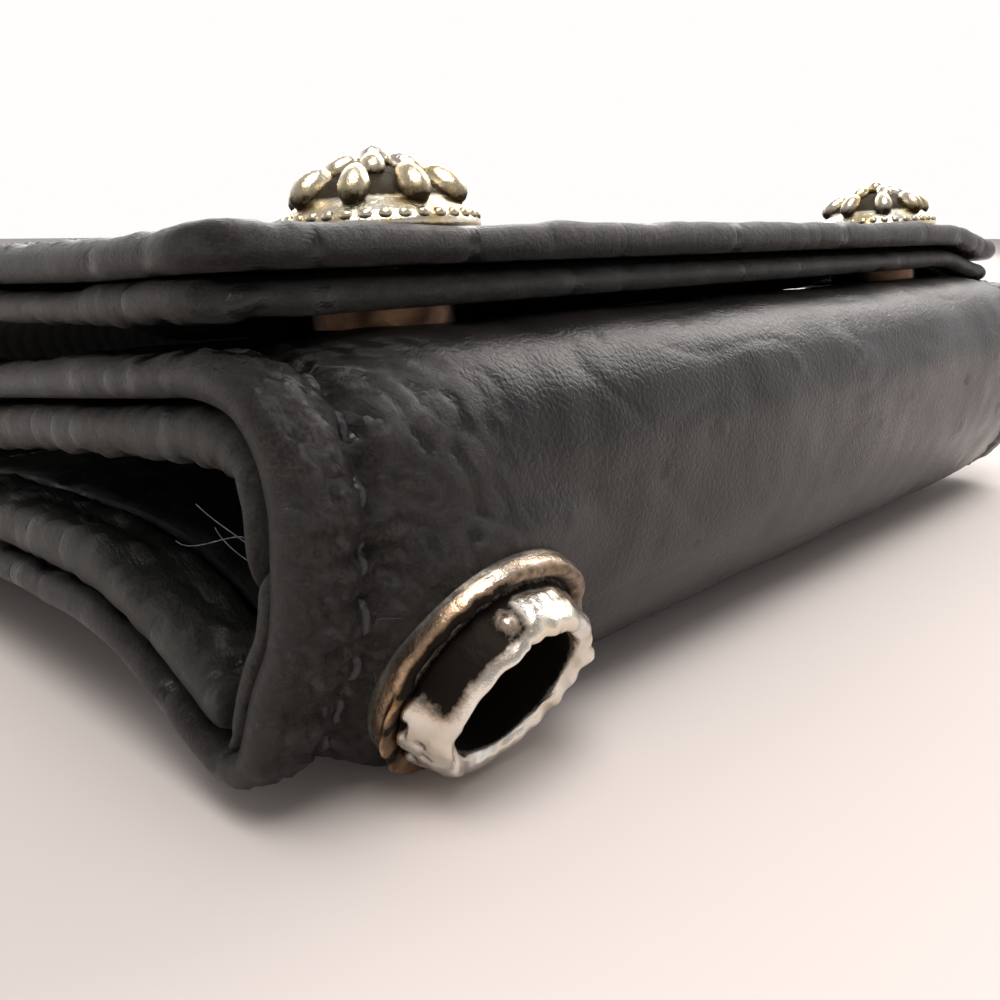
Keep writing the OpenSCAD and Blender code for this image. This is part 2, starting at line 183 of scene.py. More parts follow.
def mesh_piece(name, points, faces, slots=None, marks=None):
    """A mesh object from points and faces, with unused points left out."""
    faces = [list(dict.fromkeys(int(i) for i in face)) for face in faces]
    faces = [face for face in faces if len(face) > 2]
    used = np.unique(np.concatenate([np.array(face) for face in faces]))
    back = np.full(len(points), -1)
    back[used] = np.arange(len(used))
    mesh = bpy.data.meshes.new(name)
    mesh.from_pydata(points[used].tolist(), [], [[int(back[i]) for i in face] for face in faces])
    mesh.polygons.foreach_set("use_smooth", [True] * len(mesh.polygons))
    if slots is not None:
        mesh.polygons.foreach_set("material_index", [int(i) for i in slots])
    for key, values in (marks or {}).items():
        mark = mesh.attributes.new(key, "FLOAT", "POINT")
        mark.data.foreach_set("value", np.asarray(values, np.float32)[used])
    mesh.update()
    piece = bpy.data.objects.new(name, mesh)
    bpy.context.scene.collection.objects.link(piece)
    return piece


hem_roll = 1.05


def rolled_sheet(name, xs, ss, top, bottom, swell=None, corner=1.2, cut=(False, False),
                 roll=hem_roll, sag=None, tongue=None):
    """A closed sheet of leather with rounded edges. xs and ss are its grid along the fold and
    along the strip; top and bottom are depths, as numbers or functions of x, s and edge distance.
    swell lifts the outer face, sag the inner one; cut leaves an end of the strip square, and
    tongue draws the sheet on along the strip."""
    x, s = np.meshgrid(xs, ss)
    to_x = np.minimum(x - xs[0], xs[-1] - x)
    to_start = np.full_like(s, 1e3) if cut[0] else s - ss[0]
    to_end = np.full_like(s, 1e3) if cut[1] else ss[-1] - s
    to_s = np.minimum(to_start, to_end)
    in_from = corner - np.sqrt(np.clip(corner ** 2 - np.clip(corner - to_s, 0, corner) ** 2, 0, None))
    shift = in_from * (1 - ease(to_x, 0, corner * 3))
    x = x + np.where(x < (xs[0] + xs[-1]) / 2, shift, -shift)
    to_x = np.minimum(x - xs[0], xs[-1] - x)
    edge = np.minimum(to_x, to_s)
    bend = (to_x < corner) & (to_s < corner)
    edge = np.where(bend, corner - np.hypot(corner - to_x, corner - to_s), edge)
    edge[:, 0] = edge[:, -1] = 0
    if not cut[0]:
        edge[0, :] = 0
    if not cut[1]:
        edge[-1, :] = 0
    upper = top(x, s, edge) if callable(top) else np.full_like(x, top)
    lower = bottom(x, s, edge) if callable(bottom) else np.full_like(x, bottom)
    middle, half = (upper + lower) / 2, (lower - upper) / 2
    full = np.sqrt(np.clip(1 - (1 - np.clip(edge / roll, 0, 1)) ** 2, 0, 1))
    lift = swell(x, s, edge) if swell else 0
    drop = sag(x, s, edge) if sag else 0
    s = s + tongue(x, s) if tongue else s
    at_edge = 0.5 * (lift - drop)
    outer = place(x, s, middle - half * full - lift * full - at_edge * (1 - full))
    inner = place(x, s, middle + half * full + drop * full - at_edge * (1 - full))
    rows, cols = x.shape
    count = rows * cols
    up = np.arange(count).reshape(rows, cols)
    down = up + count
    down[:, 0], down[:, -1] = up[:, 0], up[:, -1]
    if not cut[0]:
        down[0, :] = up[0, :]
    if not cut[1]:
        down[-1, :] = up[-1, :]
    quads = [np.stack([up[:-1, :-1], up[1:, :-1], up[1:, 1:], up[:-1, 1:]], -1).reshape(-1, 4),
             np.stack([down[:-1, :-1], down[:-1, 1:], down[1:, 1:], down[1:, :-1]], -1).reshape(-1, 4)]
    sides = []
    if cut[0]:
        sides.append(np.stack([up[0, :-1], up[0, 1:], down[0, 1:], down[0, :-1]], -1))
    if cut[1]:
        sides.append(np.stack([up[-1, 1:], up[-1, :-1], down[-1, :-1], down[-1, 1:]], -1))
    faces = np.vstack(quads + sides)
    points = np.vstack([outer.reshape(-1, 3), inner.reshape(-1, 3)])
    inside = np.zeros(len(faces), int)
    middle_edge = np.concatenate([edge.ravel(), edge.ravel()])[faces].min(1)
    inside[len(quads[0]):len(quads[0]) + len(quads[1])] = 1
    inside &= (middle_edge > 7).astype(int)
    marks = {"edge": np.concatenate([edge.ravel(), edge.ravel()]),
             "near": np.concatenate([x.ravel(), x.ravel()]),
             "along": np.concatenate([s.ravel(), s.ravel()])}
    return mesh_piece(name, points, faces, inside, marks)


def tree_of(name):
    """A new material's node tree, its shader and a helper that adds and wires nodes."""
    material = bpy.data.materials.new(name)
    material.use_nodes = True
    tree = material.node_tree
    shader = tree.nodes["Principled BSDF"]

    def add(kind, settings=None, **inputs):
        made = tree.nodes.new("ShaderNode" + kind)
        for key, value in (settings or {}).items():
            setattr(made, key, value)
        for key, value in inputs.items():
            socket = made.inputs[int(key[1:])] if key[0] == "i" and key[1:].isdigit() \
                else made.inputs[key.replace("_", " ")]
            if isinstance(value, bpy.types.NodeSocket):
                tree.links.new(value, socket)
            else:
                socket.default_value = value
        return made
    return material, tree, shader, add


def ramp(add, value, stops):
    """A colour ramp with stops [place, colour]."""
    made = add("ValToRGB", Fac=value)
    while len(made.color_ramp.elements) < len(stops):
        made.color_ramp.elements.new(0.5)
    for element, (place_at, colour) in zip(made.color_ramp.elements, stops):
        element.position = place_at
        element.color = (*colour, 1)
    return made.outputs["Color"]


def between(add, value, low, high, to_low=0.0, to_high=1.0):
    """The value, taken from the range low to high to the range to_low to to_high."""
    made = add("MapRange", {"clamp": True}, Value=value)
    numbers = {"From Min": low, "From Max": high, "To Min": to_low, "To Max": to_high}
    for key, number in numbers.items():
        made.inputs[key].default_value = number
    return made.outputs["Result"]


def times_plus(add, value, factor, plus):
    """The value times the factor, plus a third value."""
    return add("Math", {"operation": "MULTIPLY_ADD"}, i0=value, i1=factor, i2=plus).outputs[0]


def emboss(tree, shader, add, heights, strength, distance):
    """Raises the surface by a pattern of heights, as bump."""
    bump = add("Bump", Height=heights, Strength=strength, Distance=distance)
    tree.links.new(bump.outputs[0], shader.inputs["Normal"])


def leather(name, dark, light, worn, gloss, pore=0.5, crack=0.16, crumple=0.35, depth=0.00008):
    """Grained leather: fine pores, hairline creases, mottled dye and rubbed, cracked edges."""
    material, tree, shader, add = tree_of(name)
    spot = add("TexCoord").outputs["Object"]
    warp = add("TexNoise", Vector=spot, Scale=700.0, Detail=3.0)
    moved = add("VectorMath", {"operation": "MULTIPLY_ADD"}, i0=warp.outputs["Color"],
                i1=(0.0007, 0.0007, 0.0007), i2=spot).outputs[0]
    pores = add("TexVoronoi", {"feature": "SMOOTH_F1"}, Vector=moved, Scale=2900.0, Smoothness=0.4)
    cracks = add("TexVoronoi", {"feature": "DISTANCE_TO_EDGE"}, Vector=moved, Scale=1150.0)
    fine = add("TexNoise", Vector=spot, Scale=5200.0, Detail=5.0, Roughness=0.65)
    blotch = add("TexNoise", Vector=spot, Scale=95.0, Detail=6.0, Roughness=0.62)
    folds = add("TexNoise", {"noise_type": "RIDGED_MULTIFRACTAL"}, Vector=moved, Scale=260.0, Detail=3.0)
    crumbs = add("TexNoise", Vector=moved, Scale=1300.0, Detail=9.0, Roughness=0.78, Distortion=0.6)
    lines = between(add, cracks.outputs["Distance"], 0.0, 0.09)
    dye = ramp(add, blotch.outputs["Fac"], [[0.32, dark], [0.72, light]])
    rubbed = add("Attribute", {"attribute_name": "wear"}).outputs["Fac"]
    specks = between(add, fine.outputs["Fac"], 0.40, 0.66)
    amount = add("Math", {"operation": "MULTIPLY"}, i0=rubbed, i1=specks).outputs[0]
    colour = add("Mix", {"data_type": "RGBA"}, i0=amount, i6=dye, i7=(*worn, 1)).outputs[2]
    dim = ramp(add, crumbs.outputs["Fac"], [[0.38, (0.12, 0.12, 0.12)], [0.56, (1, 1, 1)]])
    shade = add("Mix", {"data_type": "RGBA", "blend_type": "MULTIPLY"}, i0=rubbed, i6=colour, i7=dim)
    tree.links.new(shade.outputs[2], shader.inputs["Base Color"])
    rough = times_plus(add, blotch.outputs["Fac"], 0.3, gloss - 0.15)
    tree.links.new(times_plus(add, amount, 0.2, rough), shader.inputs["Roughness"])
    cracked = between(add, rubbed, 0.0, 0.5, 0.0, 14.0)
    deep = add("Math", {"operation": "MULTIPLY"}, i0=crumbs.outputs["Fac"], i1=cracked).outputs[0]
    deep = times_plus(add, lines, crack, deep)
    heights = times_plus(add, pores.outputs["Distance"], pore, deep)
    heights = times_plus(add, fine.outputs["Fac"], 0.45, heights)
    heights = times_plus(add, folds.outputs["Fac"], -crumple, heights)
    emboss(tree, shader, add, heights, 0.7, depth)
    shader.inputs["Specular IOR Level"].default_value = 0.36
    return material


black_leather = leather("black calf leather", (0.003, 0.0025, 0.0022), (0.0085, 0.0066, 0.0056),
                        (0.05, 0.04, 0.031), gloss=0.3)
flesh_side = leather("flesh side of the leather", (0.02, 0.021, 0.019), (0.04, 0.04, 0.036),
                     (0.1, 0.09, 0.08), gloss=0.7, pore=0.2, crack=0.1)

hem_depth = 2.1
leather_depth = 1.1
hem_width = 8.0
seam_at = 4.8
grommet_at_x = 14.0
grommet_at_s = front_fold + 9.5
snap_xs = [18.0, length - 18.0]
snap_s = flap_end - 8.5


def give(x, s):
    """How far the strip has sagged inwards: the near end under the front fold is pushed in, and
    the far ends of the flap and of the inner panel hang down towards each other."""
    under = 1.25 * hump(s, front_fold + 10, 5.5) * (1 - ease(x, 1.0, 9.0))
    from_end = flap_end - s
    flap_far = ease(x, 94, length - 1) * (2.0 + 0.02 * from_end) * (1 - ease(from_end, 38, 58))
    panel_far = 0.55 * ease(x, 97, length) * (1 - ease(s, front_fold - 12, front_fold - 2))
    return under + np.where(s > back_fold, flap_far, 0) + np.where(s < front_fold, panel_far, 0)


def skin_top(x, s, edge):
    return give(x, s)


def skin_bottom(x, s, edge):
    """Double leather under the hems, single between them."""
    return give(x, s) + hem_depth - (hem_depth - leather_depth) * ease(edge, hem_width, hem_width + 1.2)


def hem_relief(end, s, seed):
    """The rolled hem, the sunken seam and the puckers between its stitches."""
    roll = 0.24 * np.sin(np.clip(end / seam_at, 0, 1) * math.pi)
    trough = -0.55 * hump(end, seam_at, 0.7) * (1 + 0.3 * ripple(5, seed, s, 0 * s))
    pucker = 0.15 * ripple(1.9, seed + 1, s, 0.25 * end) * hump(end, seam_at, 2.4)
    buckle = 0.12 * ripple(4.2, seed + 2, s, 0.5 * end) * hump(end, 3.5, 5)
    crush = 0.09 * ripple(1.1, seed + 3, s, end) * hump(end, 3.5, 3.5)
    return (roll + trough + pucker + buckle + crush) * ease(end, 0, 0.9)


def skin_swell(x, s, edge):
    """How far the outer face stands proud of its plain run."""
    far = length - x
    calm = 1 - 0.75 * hump(flap_end - s, 0, 11) * (s > back_fold)
    swell = (hem_relief(x, s, 3) + hem_relief(far, s, 30)) * calm
    inside = ease(np.minimum(x, far), seam_at, seam_at + 8)
    spine = hump(s, front_fold - 1, 14) + 0.8 * hump(s, back_fold, 15)
    swell = swell + inside * (0.25 + 0.65 * spine)
    swell = swell + 0.03 * ripple(5.5, 7, x, s) + 0.08 * ripple(17, 8, x, s)
    lean = np.abs(ripple(9, 11, 0.35 * x, s, waves=9))
    swell = swell - 0.07 * hump(lean, 0, 0.14) * inside * (0.3 + 0.7 * spine)
    front_edge = hump(flap_end - s, 1.6, 1.6) * (s > back_fold)
    swell = swell + 0.1 * front_edge * ripple(6, 15, x, 0 * x) + 0.35 * front_edge * hump(x, 2.5, 5)
    reach = np.hypot(x - grommet_at_x, s - grommet_at_s)
    at, inward = on_run(s)
    seat_at, seat_in = on_run(np.array([grommet_at_s]))
    drop = ((at - seat_at[0]) * seat_in[0]).sum(-1)
    flat = np.clip(drop, 0, 1.8) / np.clip((inward * seat_in[0]).sum(-1), 0.7, 1)
    near = 1 - ease(reach, 6.8, 11.5)
    swell = swell * (1 - near) + near * np.where(reach < 14, flat + 0.1, 0)
    for snap_x in snap_xs:
        dent = 1 - ease(np.hypot(x - snap_x, s - snap_s), 5.5, 11)
        swell = swell * (1 - dent) + dent * -0.12
    facing_down = inward[..., 1] > 0.25
    room = give(x, s) + (at[..., 1] - 0.1) / np.clip(inward[..., 1], 0.25, 1)
    return np.where(facing_down, np.minimum(swell, room), swell)


def add_wear(piece, seed, strength=1.0):
    """Marks where the dye is rubbed: the rolled edges, the hem's ridge and a few scuffs."""
    mesh = piece.data
    count = len(mesh.vertices)
    edge, near, along = (np.zeros(count, np.float32) for _ in range(3))
    for key, values in (("edge", edge), ("near", near), ("along", along)):
        mesh.attributes[key].data.foreach_get("value", values)
    rim = hump(edge, 0.5, 0.9) * (0.4 + 0.35 * ripple(4, seed, near, along))
    ridge = 0.3 * hump(edge, seam_at + 1.4, 0.9) * ease(ripple(7, seed + 1, near, along), 0.2, 1.2)
    hem = 0.3 * hump(edge, 2.6, 2.2) * ease(ripple(3, seed + 3, near, along), 0.3, 1.4)
    scuff = 0.15 * ease(ripple(6, seed + 2, near, along), 1.3, 2.2)
    handled = hump(near, 5, 5.5) * hump(along, front_fold + 2, 14)
    scuff = scuff + 0.85 * handled * ease(ripple(2.2, seed + 4, near, along), -1.0, 1.0)
    wear = mesh.attributes.new("wear", "FLOAT", "POINT")
    wear.data.foreach_set("value", np.clip(strength * (rim + ridge + hem + scuff), 0, 1).astype(np.float32))


def cover(sheet, outside, inside):
    """Gives a sheet the material of its outside and of its inside."""
    sheet.data.materials.append(outside)
    sheet.data.materials.append(inside)


skin_x = stations(0, length, 0.28, 1.1, (0, 22))
middle_s = (front_fold + back_fold) / 2
front_skin = rolled_sheet("outer_leather_front", skin_x,
                          stations(0, middle_s, 0.3, 0.9, (front_fold - 18, front_fold + 22),
                                   roll=(hem_roll, 0)),
                          skin_top, skin_bottom, skin_swell, cut=(False, True))
cover(front_skin, black_leather, flesh_side)
add_wear(front_skin, 40)
front_bend = dict(start=(0, 0, (front_fold_z - 2.0) * MM), end=(0, 0, (front_fold_z + 2.3) * MM))
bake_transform(front_skin)
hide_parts("panel_leather")

# ---------------------------------------------------------------- outer leather, rear half
# The same strip from the middle of the back panel round the back fold and over the
# top, as far as the flap's free edge, where its corners are rounded and its hem is sewn.
rear_skin = rolled_sheet("outer_leather_rear", skin_x,
                         stations(middle_s, flap_end, 0.3, 0.9, (flap_end - 24, flap_end),
                                  roll=(0, hem_roll)),
                         skin_top, skin_bottom, skin_swell, corner=3.5, cut=(True, False))
cover(rear_skin, black_leather, flesh_side)
add_wear(rear_skin, 50)
back_bend = dict(start=(0, 0, (back_fold_z - 4.6) * MM), end=(0, 0, (back_fold_z + 4.6) * MM))
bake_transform(rear_skin)
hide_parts("back_leather", "flap_leather")

# ---------------------------------------------------------------- linings
# Thin black twill glued to the back of the outer leather, inside the note pocket.
# It goes round both folds in two lengths, laid end to end under the back panel.


def twill(name, colour, lit, pitch=0.00045):
    """Woven cloth with a fine diagonal rib."""
    material, tree, shader, add = tree_of(name)
    spot = add("TexCoord").outputs["Object"]
    rib = add("TexWave", {"wave_type": "BANDS", "bands_direction": "DIAGONAL"}, Vector=spot,
              Scale=1 / pitch / 6.5, Distortion=1.5, Detail=2.0)
    fuzz = add("TexNoise", Vector=spot, Scale=2600.0, Detail=4.0)
    mixed = times_plus(add, fuzz.outputs["Fac"], 0.5, rib.outputs["Fac"])
    tree.links.new(ramp(add, mixed, [[0.2, colour], [1.0, lit]]), shader.inputs["Base Color"])
    emboss(tree, shader, add, mixed, 0.6, 0.0001)
    tree.links.new(between(add, fuzz.outputs["Fac"], 0.3, 0.7, 0.75, 0.95), shader.inputs["Roughness"])
    shader.inputs["Sheen Weight"].default_value = 0.15
    return material


lining_cloth = twill("lining twill", (0.008, 0.008, 0.008), (0.028, 0.028, 0.025))
lining_gap = 0.15
lining_top = 1.13
lining_bottom = 1.55
lining_roll = 0.24
lining_in = hem_width + lining_gap
lining_x = stations(lining_in, length - hem_width - lining_gap, 0.9, 1.5, (0, 20),
                    roll=(lining_roll, lining_roll))
for name, start, end, cut, bodies, fold, nodes, skin in [
        ("front_lining", lining_in, middle_s, (False, True), ("back", "panel"), front_bend,
         ["panel_lining"], front_skin),
        ("rear_lining", middle_s, flap_end - lining_in, (True, False), ("back", "flap"), back_bend,
         ["back_lining", "flap_lining"], rear_skin)]:
    lining_s = stations(start, end, 0.7, 1.5, (start, end),
                        roll=(0 if cut[0] else lining_roll, 0 if cut[1] else lining_roll))
    lining = rolled_sheet(name, lining_x, lining_s, lambda x, s, edge: give(x, s) + lining_top,
                          lambda x, s, edge: give(x, s) + lining_bottom, corner=0.5, cut=cut,
                          roll=lining_roll, sag=lambda x, s, edge: 0.03 * ripple(6, 71, x, s))
    cover(lining, lining_cloth, lining_cloth)
    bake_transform(lining)
    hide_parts(*nodes)

# ---------------------------------------------------------------- facings
# The inner leather sheets that close the note pocket. Each has thick bound ends,
# rolled and sewn. The inner panel's one is crushed thin where it meets the front fold, and
# its near end is drawn on past the fold as a short tongue.
soft_leather = leather("soft inner leather", (0.008, 0.0085, 0.0078), (0.022, 0.0225, 0.020),
                       (0.10, 0.08, 0.06), gloss=0.38, pore=0.5, crack=0.15, crumple=0.7, depth=0.0001)
pocket_leather = 0.65
facing_top = hem_depth + 0.3
facing_sheet = facing_top + 0.8
back_rim = facing_sheet + 1.9 + 0.8
panel_rim = facing_sheet + 2.3
flap_rim = facing_sheet + 2 * pocket_leather
rim_width = 6.0
free_rim = 3.0
tongue_slope = 0.17


def cards(x, s):
    """The bulge of a few cards in the flap's pockets, down towards the inner panel."""
    in_from = flap_end - s
    across = ease(x, 9, 18) * (1 - ease(x, 93, 103))
    return across * ease(in_from, 14.3, 18.5) * (1 - ease(in_from, 33, 44)) * (1.8 + 0.055 * (in_from - 15))


def sew_in(sheet, body, node, seed, strength=0.8):
    """Finishes a sheet of the inner leather and fixes it to its body."""
    cover(sheet, soft_leather, soft_leather)
    add_wear(sheet, seed, strength)
    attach(sheet, body)
    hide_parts(node)


def facing(name, body, node, start, end, rim, seed, crush=None, corner=1.5, free_edge=False, bulge=0,
           tongue=None):
    """A facing from start to end of the strip, rim deep at its ends and one sheet thick between."""
    def clear(x, s):
        return tongue_slope * tongue(x, s) if tongue else 0

    def upper(x, s, edge):
        shut = 0.4 * ease(end - s, 1.0, 2.5) * (1 - ease(end - s, 12, 15))
        return give(x, s) + facing_top + 0.2 - shut * free_edge + bulge * cards(x, s) + clear(x, s)

    def lower(x, s, edge):
        to_rim = np.minimum(x, length - x) - rim_width
        if free_edge:
            to_rim = np.minimum(to_rim, end - s - free_rim)
        depth = rim - (rim - facing_sheet) * ease(to_rim, -0.6, 0.0)
        depth = depth if crush is None else depth - crush(x, s)
        return give(x, s) + depth + bulge * cards(x, s) + clear(x, s)

    def sag(x, s, edge):
        to_end = np.minimum(x, length - x)
        pucker = 0.15 * ripple(2.6, seed, s, 0.4 * to_end) * hump(to_end, 2, 4)
        fold = 0.16 * ripple(6, seed + 1, x, s) + 0.06 * ripple(1.6, seed + 3, x, s)
        fold = fold * (1 - hump(s, back_fold - 34, 9)) * (bulge == 0)
        return pucker + fold - 0.2 * hump(to_end, seam_at - 1, 0.5)

    def swell(x, s, edge):
        to_end = np.minimum(x, length - x)
        return 0.1 * ripple(2.2, seed + 2, s, 0.4 * to_end) * hump(to_end, 0, 3) * (edge < 5)

    sheet = rolled_sheet(name, stations(0.35, length - 0.35, 0.3, 1.2, (0, 16), roll=(1.2, 1.2)),
                         stations(start, end, 0.4, 1.0, (front_fold - 20, front_fold + 25)),
                         upper, lower, swell, corner=corner, roll=1.25, sag=sag, tongue=tongue)
    sew_in(sheet, body, node, seed + 5)


back_facing_start = front_fold + 19
back_facing_end = back_fold - 16
flap_facing_start = back_fold + 18
flap_facing_end = flap_end - 1
panel_facing_end = front_fold - 2.6
facing("back_facing_leather", "back", "back_facing", back_facing_start, back_facing_end, back_rim, 81)
facing("flap_facing_leather", "flap", "flap_facing", flap_facing_start, flap_facing_end, flap_rim, 91,
       corner=3, free_edge=True, bulge=0.5)
facing("panel_facing_leather", "panel", "panel_facing", 0.6, panel_facing_end, panel_rim, 101,
       crush=lambda x, s: 2.4 * ease(s, panel_facing_end - 6, panel_facing_end),
       tongue=lambda x, s: 5.6 * (1 - ease(x, 2.5, 8)) * ease(s, panel_facing_end - 5, panel_facing_end))

# ---------------------------------------------------------------- spine patch
# A short second layer of leather glued inside the front fold, behind the grommet,
# so that the chain's pull doesn't tear the fold. Its lower edge is skived thin.


def patch_top(x, s, edge):
    return give(x, s) + hem_depth + 0.05


def patch_bottom(x, s, edge):
    return give(x, s) + hem_depth + 1.1 - 0.5 * ease(s, front_fold + 13, front_fold + 17.5)


patch = rolled_sheet("spine_patch_leather", stations(0.3, grommet_at_x + 14, 0.35, 0.8, (0, 10)),
                     stations(front_fold + 1.2, front_fold + 17.8, 0.35, 0.6, (0, 900)),
                     patch_top, patch_bottom, corner=1.5, roll=0.6,
                     sag=lambda x, s, edge: (0.16 * ripple(2.3, 111, x, s) + 0.12 * ripple(5, 112, x, s))
                     * ease(edge, 0, 1) * ease(np.hypot(x - grommet_at_x, s - grommet_at_s), 8, 10))
sew_in(patch, "back", "spine_patch", 115)

# ---------------------------------------------------------------- card pockets
# Two thin leather pockets inside the flap, one stepped back from the other, each with
# a folded mouth. They share the flap's bound rims and bulge a little with what they hold.
pocket_x = stations(rim_width + 0.1, length - rim_width - 0.1, 0.8, 1.2, (0, 20), roll=(0.3, 0.3))
for k, (start, share) in enumerate([(flap_facing_start + 6, 0.75), (flap_facing_start + 15, 1.0)]):
    outer = facing_sheet + pocket_leather * k + 0.1

    def upper(x, s, edge, outer=outer, share=share):
        return give(x, s) + outer + share * cards(x, s)

    def lower(x, s, edge, outer=outer, share=share, start=start):
        mouth = 0.06 * hump(s, start + 1.2, 1.4)
        return give(x, s) + outer + 0.5 + mouth + share * cards(x, s)

    pocket_s = stations(start, flap_facing_end - free_rim - 0.1, 0.5, 0.9, (0, 0), roll=(0.3, 0.3))
    pocket = rolled_sheet(f"card_pocket_{k + 1}_leather", pocket_x, pocket_s, upper, lower,
                          corner=0.6, roll=0.3)
    sew_in(pocket, "flap", f"flap_card_pocket_{k + 1}", 120 + k, 0.45)

# ---------------------------------------------------------------- coin pocket
# The back facing carries a coin pocket: a soft leather wall in front of the zip and a
# narrow strip behind it, both sewn into the facing's bound rims.
zip_s = back_fold - 34
zip_half = 3
coin_depth = facing_sheet + 1.9
for name, node, start, end, seed in [
        ("coin_pocket_wall_leather", "coin_pocket_wall", back_facing_start + 1, zip_s - zip_half, 131),
        ("coin_pocket_strip_leather", "coin_pocket_strip", zip_s + zip_half, back_facing_end - 1, 135)]:
    wall = rolled_sheet(name, pocket_x, stations(start, end, 0.6, 0.9, (0, 0), roll=(0.4, 0.4)),
                        coin_depth + 0.05, coin_depth + 0.75, corner=0.8, roll=0.4,
                        sag=lambda x, s, edge, seed=seed: 0.14 * ease(edge, 0, 3)
                        * (ripple(8, seed, x, s) + 0.5 * ripple(2.6, seed + 1, x, s)))
    sew_in(wall, "back", node, seed + 2, 0.45)

# ---------------------------------------------------------------- ticket pocket
# A slim leather pocket under the inner panel, for tickets and stamps, closed by
# the panel's bound rims and open towards the front fold.
ticket = rolled_sheet("ticket_pocket_leather", pocket_x,
                      stations(3, front_fold - 14, 0.5, 0.9, (0, 0), roll=(0.3, 0.3)),
                      panel_rim - 1.02, panel_rim - 0.52, corner=0.6, roll=0.3,
                      sag=lambda x, s, edge: 0.05 * ripple(7, 141, x, s) * ease(edge, 0, 3))
sew_in(ticket, "panel", "panel_ticket_pocket", 145)

# ---------------------------------------------------------------- stitching
# Waxed black thread through the hems, sunk in its seam, each stitch dipping into the
# leather at both ends.
stitch_length = 2.5
pitch = 3.4
edge_seam = 3.2
snap_clearance = 7.8


def waxed_thread():
    """Black thread with a fine twist and a dull wax on it."""
    material, tree, shader, add = tree_of("waxed black thread")
    spot = add("TexCoord").outputs["Object"]
    twist = add("TexWave", {"bands_direction": "DIAGONAL"}, Vector=spot, Scale=900.0, Distortion=1.0)
    fuzz = add("TexNoise", Vector=spot, Scale=4200.0, Detail=3.0)
    black = ramp(add, fuzz.outputs["Fac"], [[0.35, (0.006, 0.006, 0.007)], [0.7, (0.03, 0.028, 0.03)]])
    tree.links.new(black, shader.inputs["Base Color"])
    tree.links.new(between(add, fuzz.outputs["Fac"], 0.3, 0.7, 0.4, 0.7), shader.inputs["Roughness"])
    emboss(tree, shader, add, twist.outputs["Fac"], 0.5, 0.00008)
    return material


def tube(path, radii, around=8):
    """Points and faces of a closed tube along a path, in metres."""
    path = np.asarray(path)
    way = np.gradient(path, axis=0)
    way /= np.linalg.norm(way, axis=1, keepdims=True)
    side = np.cross(way, [0.31, 0.55, 0.77])
    side /= np.linalg.norm(side, axis=1, keepdims=True)
    other = np.cross(way, side)
    turn = np.linspace(0, 2 * math.pi, around, endpoint=False)
    ring = side[:, None] * np.cos(turn)[:, None] + other[:, None] * np.sin(turn)[:, None]
    points = (path[:, None] + ring * np.asarray(radii)[:, None, None]).reshape(-1, 3)
    index = np.arange(len(points)).reshape(len(path), around)
    after = np.roll(index, -1, 1)
    faces = np.stack([index[:-1], after[:-1], after[1:], index[1:]], -1).reshape(-1, 4).tolist()
    return points, faces + [index[0][::-1].tolist(), index[-1].tolist()]


def joined(parts):
    """Points and faces of several forms as one list each."""
    points, faces, count = [], [], 0
    for some, some_faces in parts:
        points.append(some)
        faces += [[i + count for i in face] for face in some_faces]
        count += len(some)
    return np.vstack(points), faces


def stitch(x, s, along):
    """One stitch over the skin at x, s, lying along the strip or across it."""
    u = np.linspace(-1, 1, 9)
    slack = rng.uniform(-0.12, 0.12, 2)
    xs = x + (0 * u if along else stitch_length / 2 * u) + slack[0] * u
    ss = s + (stitch_length / 2 * u if along else 0 * u) + slack[1]
    proud = skin_swell(xs, ss, np.full(9, 4.0))
    sunk = 0.16 if along else 0.36
    depth = give(xs, ss) - proud + sunk + 0.6 * np.abs(u) ** 4 - 0.1 * (1 - u * u)
    radii = 0.3 * np.sqrt(np.clip(1.02 - 0.75 * np.abs(u) ** 5, 0.1, 1))
    return tube(place(xs, ss, depth), radii * MM)


def strand(x, s, depth, way, reach, seed):
    """A frayed fibre that leaves the seam and curls."""
    loose = np.random.default_rng(seed)
    u = np.linspace(0, 1, 14)[:, None]
    start = place(np.array([x]), np.array([s]), np.array([depth]))[0]
    bend = loose.normal(size=(2, 3))
    path = start + (np.array(way) * reach * u + bend[0] * reach * 0.2 * u ** 2
                    + bend[1] * reach * 0.08 * np.sin(u * 5)) * MM
    return tube(path, np.linspace(0.035, 0.018, 14) * MM, around=5)


rng = np.random.default_rng(5)
thread = waxed_thread()
for name, start, end, bodies, fold, nodes, edge_at in [
        ("front_stitching", seam_at, middle_s, ("back", "panel"), front_bend, ["panel_thread"], edge_seam),
        ("rear_stitching", middle_s, flap_end - seam_at, ("back", "flap"), back_bend,
         ["back_thread", "flap_thread"], flap_end - edge_seam)]:
    forms = []
    for x in (seam_at, length - seam_at):
        for s in np.arange(start + 1.7, end - 1.2, pitch):
            forms.append(stitch(x, s, True))
    for x in np.arange(seam_at + 3.4, length - seam_at - 2, pitch):
        if nodes[0] == "panel_thread" or min(abs(x - snap_x) for snap_x in snap_xs) > snap_clearance:
            forms.append(stitch(x, edge_at, False))
    stitching = mesh_piece(name, *joined(forms))
    stitching.data.materials.append(thread)
    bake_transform(stitching)
    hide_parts(*nodes)

